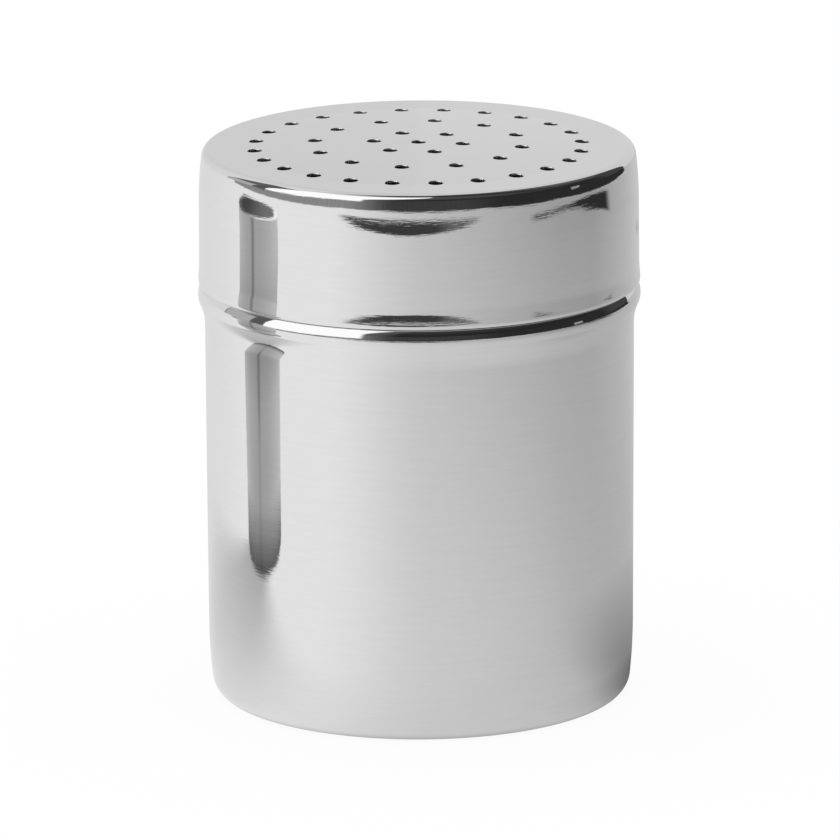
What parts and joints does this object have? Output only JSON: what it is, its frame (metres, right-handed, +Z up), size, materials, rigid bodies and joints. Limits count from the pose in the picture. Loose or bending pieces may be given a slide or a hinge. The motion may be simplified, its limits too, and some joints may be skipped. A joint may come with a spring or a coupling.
{
  "type": "sugar dispenser",
  "caption": "Round metal shaker for sugar: a straight-sided can with a bead, and a pierced, low-domed lid that lifts off.",
  "frame": {"origin": "middle of the base, on the surface that the can stands on", "axes": "+Z up along the axis of can and lid; the lid's two pips and the mouths of the can's slots lie on the X axis"},
  "size_m": [0.0702, 0.0702, 0.0895],
  "materials": {
    "can_steel": "bright polished stainless steel with fine polishing lines round the wall",
    "lid_steel": "bright polished stainless steel with fine polishing lines round the skirt"
  },
  "bodies": {
    "can": {"can": "can_steel"},
    "lid": {"lid": "lid_steel"}
  },
  "joints": [
    {"name": "lid_lift", "type": "slide", "parent": "can", "child": "lid", "axis": [0, 0, 1], "range_m": [0, 0.03]}
  ]
}
